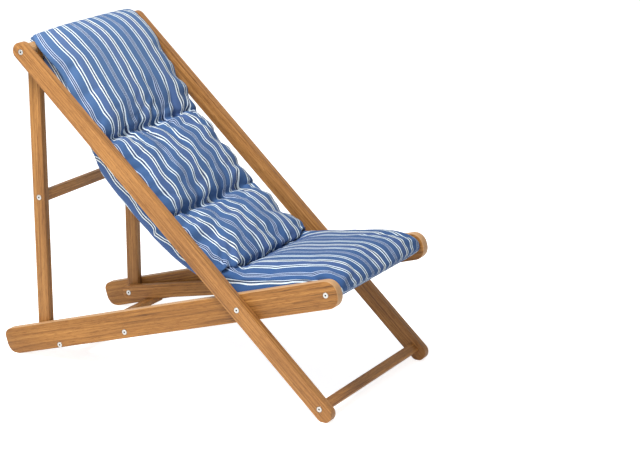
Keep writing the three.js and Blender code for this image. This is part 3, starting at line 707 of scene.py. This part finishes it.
cloth_step = 0.008
near_slip_back, near_slip_seat = 0.018, -0.006  # at the near side the stripes sit higher, on the seat lower
quarter_length = 0.290  # half the pad's width and half its depth, along the cloth
fine = np.linspace(0, len(top_stations) - 1, 4000)
fine_top = smooth_through(top_stations, fine)
run = np.concatenate([[0], np.cumsum(np.linalg.norm(np.diff(fine_top, axis=0), axis=1))])
row_count = int(run[-1] / cloth_step) + 1
row_runs = np.linspace(0, run[-1], row_count)
rows_at = np.interp(row_runs, run, fine)
seam_runs = np.interp(seam_stations, fine, run)
top = smooth_through(top_stations, rows_at)
under = smooth_through(under_stations, rows_at)
half_width = smooth_through(width_stations, rows_at)
near_half_width = smooth_through(np.array(near_half_widths), rows_at)
overhang = smooth_through(np.array(head_overhang_shares, float), rows_at)
drooping = smooth_through(np.array(droop_shares, float), rows_at)
far_drooping = smooth_through(np.array(far_droop_shares, float), rows_at)
quarter_count = int(quarter_length / cloth_step)
ring_count = 4 * quarter_count
across_power, back_power, seat_power, under_power = 0.2, 0.36, 0.52, 0.2
up_power = back_power + (seat_power - back_power) * eased(row_runs, seam_runs[2] - 0.02, seam_runs[2] + 0.07)


def quarter_ring(half_wide, half_deep, power):
    """Across and up shares of a quarter of the pad's section, evenly spaced along the cloth."""
    turn = np.linspace(0, math.pi / 2, 2000)
    x = np.cos(turn) ** across_power
    z = np.sin(turn) ** power
    x[-1], z[0] = 0, 0
    length = np.concatenate([[0], np.cumsum(np.hypot(np.diff(x) * half_wide, np.diff(z) * half_deep))])
    even = np.linspace(0, length[-1], quarter_count + 1)
    return np.interp(even, length, x), np.interp(even, length, z)


# rings of cloth round the filling, from the head to the front, each pulled in where the legs fold
places = np.zeros((row_count, ring_count, 3))
ups = np.zeros((row_count, ring_count))
leg_room = np.zeros((row_count, ring_count))
for i in range(row_count):
    middle, half = (top[i] + under[i]) / 2, (top[i] - under[i]) / 2
    x, z = quarter_ring(half_width[i], np.linalg.norm(half), up_power[i])
    under_x, under_z = quarter_ring(half_width[i], np.linalg.norm(half), under_power)
    across = np.concatenate([x[:-1], -x[::-1][:-1], -under_x[:-1], under_x[::-1][:-1]])
    up = np.concatenate([z[:-1], z[::-1][:-1], -under_z[:-1], -under_z[::-1][:-1]])
    places[i, :, 0] = middle[0] + half[0] * up
    places[i, :, 2] = middle[1] + half[1] * up
    along = (places[i, :, 0] - head_bolt.x) * back_way.x + (places[i, :, 2] - head_bolt.z) * back_way.z
    above = (places[i, :, 0] - head_bolt.x) * back_up.x + (places[i, :, 2] - head_bolt.z) * back_up.z
    room = np.interp(along, leg_room_along, leg_room_above)
    wide = np.where(across > 0, half_width[i] + head_overhang_far * overhang[i], near_half_width[i])
    clear = eased(above, room, room + leg_room_step)
    places[i, :, 1] = across * (sling_head_half_width + (wide - sling_head_half_width) * clear)
    ups[i], leg_room[i] = up, 1 - eased(above, room + leg_room_step, room + leg_room_held)
faces = []
for i in range(row_count - 1):
    for j in range(ring_count):
        k = (j + 1) % ring_count
        this_row, next_row = i * ring_count, (i + 1) * ring_count
        faces.append((this_row + j, this_row + k, next_row + k, next_row + j))
faces.append(tuple(range(ring_count))[::-1])
faces.append(tuple((row_count - 1) * ring_count + j for j in range(ring_count)))

# the cloth's outward way at each point, along which it ripples and puckers
along_rows = np.gradient(places, axis=0)
around_rows = np.roll(places, -1, axis=1) - np.roll(places, 1, axis=1)
outward = np.cross(around_rows, along_rows)
outward /= np.maximum(np.linalg.norm(outward, axis=2, keepdims=True), 1e-9)
from_middle = places - places.mean(axis=1, keepdims=True)
outward *= np.sign(np.sum(outward * from_middle, axis=2, keepdims=True) + 1e-12)
runs = row_runs[:, None] * np.ones((1, ring_count))
sides = places[:, :, 1].copy()
facing = eased(ups, -0.3, 0.5)

# at the sides the crease climbs a little, and the seat's side walls are hollow under its top edges
crease_run = seam_runs[2]
climbing = eased(np.abs(sides), 0.165, 0.232) * np.exp(-((runs - crease_run) / 0.042) ** 2)
climbing *= eased(ups, -0.6, 0.4)
places -= np.array([back_way.x, 0, back_way.z]) * (crease_climb * climbing)[:, :, None]
on_the_seat = eased(runs, crease_run + 0.01, crease_run + 0.08)
on_the_seat *= 1 - eased(runs, run[-1] - 0.16, run[-1] - 0.08)
in_the_wall = np.exp(-((ups - 0.1) / 0.42) ** 2) * eased(np.abs(sides), 0.19, 0.225)
places[:, :, 1] -= np.sign(sides) * wall_hollow * on_the_seat * in_the_wall
places[:, :, 2] -= near_edge_drop * on_the_seat * eased(-sides, 0.08, 0.235) * eased(ups, 0.1, 0.7)
seam_near = np.zeros_like(runs)
drawn = np.zeros_like(runs)  # how far the stripes are drawn aside

# at its near end the crease is shallow and breaks up into small crumples
at_crease = (runs - crease_run) / 0.030
filled_out = near_crease_fill * eased(-sides, 0.12, 0.21) * np.exp(-at_crease ** 2)
places += outward * (filled_out * facing)[:, :, None]
crumpled = eased(-sides, 0.07, 0.19) * np.exp(-((runs - crease_run + 0.025) / 0.085) ** 2)
crumples = np.sin(
    (0.75 * runs + 0.66 * sides) * 2 * math.pi / crumple_length + 2.5 * np.sin(24 * sides + 19 * runs))
crumples += 0.5 * np.sin(
    (0.5 * runs - 0.86 * sides) * 2 * math.pi / small_crumple_length + 2 * np.sin(31 * runs))
near_slip = np.interp(row_runs, [crease_run - 0.05, crease_run + 0.08], [near_slip_back, near_slip_seat])
pucker = np.zeros_like(runs)
for seam, tufts, groove, gathers in zip(seam_runs, tuft_places, seam_grooves, seam_gathers):
    away = runs - seam
    pucker -= groove * np.exp(-(away / 0.008) ** 2)
    gathers = np.where((away > 0) & (seam == crease_run), 1.7, 1) * gathers
    folds = np.sin(2 * math.pi * sides / gather_length + 2.2 * np.sin(13 * sides + 7 * seam))
    folds += 0.6 * np.sin(2 * math.pi * sides / small_gather_length + 1.0)
    pucker += gathers * folds * np.exp(-np.abs(away) / 0.024) * (1 - np.exp(-(away / 0.006) ** 2))
    seam_near = np.maximum(seam_near, np.exp(-(away / 0.011) ** 2))
    if seam != crease_run:
        pucker += far_seam_fill * eased(sides, 0.15, 0.235) * np.exp(-(away / 0.014) ** 2)
    for n, tuft in enumerate(tufts):
        aside = sides - tuft - 0.004 * math.sin(5 * n + 40 * seam)
        far = np.hypot(away / tuft_reach_along, aside / tuft_reach_across)
        pucker -= tuft_depth * np.exp(-far ** 2)
        reach = np.exp(-(np.abs(away) / (0.048 + 0.012 * math.sin(3 * n))) ** 1.6)
        pucker -= tuft_fold_depth * np.exp(-(aside / 0.0075) ** 2) * reach
        drawn += tuft_draw * (aside / 0.024) * np.exp(-(aside / 0.024) ** 2) * np.exp(-np.abs(away) / 0.038)
drift = 0.018 * np.sin(11 * sides + 9 * runs) + 0.010 * np.sin(27 * sides - 13 * runs + 1.0)
ripple = (ripple_depth * np.sin((runs + drift) * 2 * math.pi / ripple_length + 1.2 * np.sin(9 * sides + 2.0))
          + small_ripple_depth * np.sin(
              (runs - 1.4 * drift) * 2 * math.pi / small_ripple_length + 2.1 * np.sin(17 * sides)))
rippled = np.interp(runs, [0, 0.10, 0.22, 0.36, 0.66, 0.95, 1.00, 1.06, 1.7],
                    [0.1, 0.1, 0.25, 0.7, 0.8, 0.8, 0.5, 0.15, 0.1])
drawn += stripe_bend * np.interp(runs, [0.3, 0.4, 0.9, 1.0], [0, 1, 1, 0.2]) * np.sin(
    (runs + 0.5 * sides + drift) * 2 * math.pi / stripe_bend_length + 0.8)
lifted = ripple * rippled * (1 - 0.7 * seam_near) + pucker + crumple_depth * crumples * crumpled
places += outward * (facing * lifted)[:, :, None]
drawn += crumple_bend * crumples * crumpled
droop = head_droop * drooping[:, None] * (1 - eased(sides, -0.24, -0.08))
droop += head_droop_far * far_drooping[:, None] * eased(sides, 0.10, 0.24)
places -= np.array([back_up.x, 0, back_up.z]) * (droop * eased(ups, 0.1, 0.7))[:, :, None]

sling_mesh = bpy.data.meshes.new("padded_sling")
sling_mesh.from_pydata(places.reshape(-1, 3).tolist(), [], faces)
sling = bpy.data.objects.new("padded_sling", sling_mesh)
bpy.context.collection.objects.link(sling)
weave = sling_mesh.uv_layers.new(name="weave")
for polygon in sling_mesh.polygons:
    corners = [sling_mesh.loops[k].vertex_index for k in polygon.loop_indices]
    around = [c % ring_count for c in corners]
    wraps = max(around) - min(around) > ring_count // 2 and len(corners) == 4
    for loop, c, j in zip(polygon.loop_indices, corners, around):
        # the cloth's own place: across from the middle of the top, and along from the head
        step = j + ring_count if wraps and j < ring_count // 2 else j
        across = (step - quarter_count) / quarter_count * quarter_length + drawn[c // ring_count, j]
        if min(around) >= 3 * quarter_count or wraps:
            across -= 4 * quarter_length
        else:
            across += near_slip[c // ring_count] * min(1, max(0, (step / quarter_count - 1.9) / 0.2))
        weave.data[loop].uv = (across, (c // ring_count) * cloth_step)

# the cotton, longer than the filling, swells and creases between the points where it is sewn down
pressure, growth, stitch_hold, settle_frames, most_moved = 4.0, 0.045, 0.5, 20, 0.022
swell_rows, swell_around, swell_taken = 9, 7, 0.9  # the shape has its swell already


def bell_weights(reach):
    weights = np.exp(-(np.arange(-2 * reach, 2 * reach + 1) / reach) ** 2)
    return weights / weights.sum()


held = np.where(ups < -0.35, 1.0, 0.0)
for seam, tufts in zip(seam_runs, tuft_places):
    line = np.exp(-((runs - seam) / 0.007) ** 2)
    held = np.maximum(held, stitch_hold * line)
    for tuft in tufts:
        held = np.maximum(held, np.exp(-(((runs - seam) / 0.010) ** 2 + ((sides - tuft) / 0.010) ** 2)))
held = np.maximum(held, leg_room)
held[:3] = held[-3:] = 1
taut = np.interp(runs, [0, 0.12, 0.30, 0.36, 0.98, 1.08, 1.7], [0.8, 0.75, 0.35, 0.0, 0.1, 0.75, 0.8])
stretched_flat = sling.vertex_groups.new(name="taut")
for index, weight in enumerate(taut.reshape(-1)):
    stretched_flat.add([index], float(weight), "REPLACE")
sewn = sling.vertex_groups.new(name="sewn")
for index, weight in enumerate(held.reshape(-1)):
    if weight > 0.05:
        sewn.add([index], float(weight), "REPLACE")
bpy.ops.object.select_all(action="DESELECT")
sling.select_set(True)
bpy.context.view_layer.objects.active = sling
cloth = sling.modifiers.new("settle", "CLOTH")
settings = cloth.settings
settings.quality = 6
settings.mass = 0.3
settings.tension_stiffness = settings.compression_stiffness = 20
settings.shear_stiffness = 8
settings.bending_stiffness = 0.15
settings.air_damping = 2
settings.use_pressure = True
settings.uniform_pressure_force = pressure
settings.vertex_group_shrink = "taut"
settings.shrink_min, settings.shrink_max = -growth, 0
settings.effector_weights.gravity = 0
settings.vertex_group_mass = "sewn"
settings.pin_stiffness = 1
cloth.collision_settings.use_collision = False
cloth.collision_settings.use_self_collision = False
cloth.point_cache.frame_start, cloth.point_cache.frame_end = 1, settle_frames
for frame_number in range(1, settle_frames + 1):
    scene.frame_set(frame_number)
settled_sling = sling.evaluated_get(bpy.context.evaluated_depsgraph_get())
settled = np.zeros(row_count * ring_count * 3)
settled_sling.data.vertices.foreach_get("co", settled)
moved = settled.reshape(places.shape) - places
edged = np.concatenate([moved[:1]] * 2 * swell_rows + [moved] + [moved[-1:]] * 2 * swell_rows)
swell = sum(w * edged[n:n + row_count] for n, w in enumerate(bell_weights(swell_rows)))
swell = sum(w * np.roll(swell, n - 2 * swell_around, axis=1)
            for n, w in enumerate(bell_weights(swell_around)))
moved = moved - swell_taken * swell
length = np.linalg.norm(moved, axis=2, keepdims=True)
moved *= np.minimum(1, most_moved / np.maximum(length, 1e-9))
sling.modifiers.remove(cloth)
scene.frame_set(1)
sling_mesh.vertices.foreach_set("co", (places + moved).reshape(-1))
sling.vertex_groups.clear()
sling_mesh.update()
finer = sling.modifiers.new("finer", "SUBSURF")
finer.levels = finer.render_levels = 1
bpy.ops.object.modifier_apply(modifier=finer.name)
sling_mesh = sling.data

# the stripes: pairs and a trio of white lines with dark edges, on blue and violet bands
stripe_period, stripe_shift = 0.166, -0.010
bright_line, plain_line, fine_line = (0.90, 0.98, 1.0, 1), (0.82, 0.93, 1.0, 1), (0.52, 0.63, 0.82, 1)
blue_band, violet_band = (0.083, 0.167, 0.345, 1), (0.100, 0.172, 0.356, 1)
dark_gap, dark_edge, edge_width = (0.055, 0.085, 0.185, 1), (0.060, 0.124, 0.272, 1), 0.0018
group_lines = [
    (0.0, 0.0047, 0.0105, bright_line, violet_band), (0.0415, 0.0044, 0.0101, plain_line, blue_band),
    (0.083, 0.0025, 0.0062, fine_line, blue_band), (0.1245, 0.0044, 0.0101, plain_line, blue_band),
]
fleck_tones = [(0.3, (0.84, 0.86, 0.89)), (0.7, (1.12, 1.11, 1.09))]
# the stripes are darkened as painted shade from the first seam on, and more from the crease on, over the
# lower back and the seat
painted_shade_depths = [(reach, (depth, depth, depth))
              for reach, depth in ((0.24, 1.0), (0.40, 1.13), (0.92, 1.13), (1.0, 1.24))]
cotton = bpy.data.materials.new("striped_cotton")
cotton.use_nodes = True
nodes, links = cotton.node_tree.nodes, cotton.node_tree.links
shader = nodes["Principled BSDF"]
cloth_map = lined_up(nodes, "ShaderNodeUVMap", uv_map="weave")
split = nodes.new("ShaderNodeSeparateXYZ")
links.new(cloth_map.outputs["UV"], split.inputs["Vector"])
shifted = lined_up(nodes, "ShaderNodeMath", operation="ADD")
shifted.inputs[1].default_value = 20 * stripe_period + stripe_period / 8 - stripe_shift
links.new(split.outputs["X"], shifted.inputs[0])
shared = lined_up(nodes, "ShaderNodeMath", operation="DIVIDE")
shared.inputs[1].default_value = stripe_period
links.new(shifted.outputs["Value"], shared.inputs[0])
repeat = lined_up(nodes, "ShaderNodeMath", operation="FRACT")
links.new(shared.outputs["Value"], repeat.inputs[0])
stripes = nodes.new("ShaderNodeValToRGB")
ramp = stripes.color_ramp
ramp.interpolation = "CONSTANT"
stops = [(0.0, blue_band)]
for start, width, spacing, colour, band in group_lines:
    count = 3 if colour is fine_line else 2
    first = start + stripe_period / 8 - (count - 1) / 2 * spacing
    stops.append(((first - width / 2 - edge_width) / stripe_period, dark_edge))
    for n in range(count):
        middle = first + n * spacing
        stops.append(((middle - width / 2) / stripe_period, colour))
        stops.append(((middle + width / 2) / stripe_period, dark_gap if n < count - 1 else dark_edge))
    stops.append(((middle + width / 2 + edge_width) / stripe_period, band))
ramp.elements[0].position, ramp.elements[0].color = stops[0]
ramp.elements.remove(ramp.elements[1])
for position, colour in stops[1:]:
    ramp.elements.new(position).color = colour
links.new(repeat.outputs["Value"], stripes.inputs["Fac"])
cloth_place, along_the_cloth = cloth_map.outputs["UV"], split.outputs["Y"]
# a gamma along the cloth darkens the stripes as painted shade
shaded_stripes = nodes.new("ShaderNodeGamma")
links.new(stripes.outputs["Color"], shaded_stripes.inputs["Color"])
links.new(toned(nodes, links, along_the_cloth, painted_shade_depths), shaded_stripes.inputs["Gamma"])
threads = spread_noise(nodes, links, cloth_place, (1500, 500, 1), Detail=3.0, Roughness=0.7)
flecks = toned(nodes, links, threads, fleck_tones)
flecked = multiplied(nodes, links, shaded_stripes.outputs["Color"], flecks, share=0.6)
links.new(flecked, shader.inputs["Base Color"])
for finish, value in (
    ("Roughness", 0.88), ("Specular IOR Level", 0.15), ("Sheen Weight", 0.08), ("Sheen Roughness", 0.5),
):
    shader.inputs[finish].default_value = value
twill = lined_up(
    nodes, "ShaderNodeTexWave", wave_type="BANDS", bands_direction="DIAGONAL", Scale=1.0, Distortion=0.4)
twill_map = lined_up(nodes, "ShaderNodeMapping", Scale=(260, 260, 1))
links.new(cloth_place, twill_map.inputs["Vector"])
links.new(twill_map.outputs["Vector"], twill.inputs["Vector"])
embossed(nodes, links, ((twill.outputs["Fac"], 0.25, 0.0004), (threads, 0.35, 0.0005)), shader)
sling.data.materials.append(cotton)
for polygon in sling.data.polygons:
    polygon.use_smooth = True
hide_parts("sling_back", "sling_seat")
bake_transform(sling)

visual_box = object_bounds()
{"cad": [list(corner) for corner in cad_box], "visual": [list(corner) for corner in visual_box]}
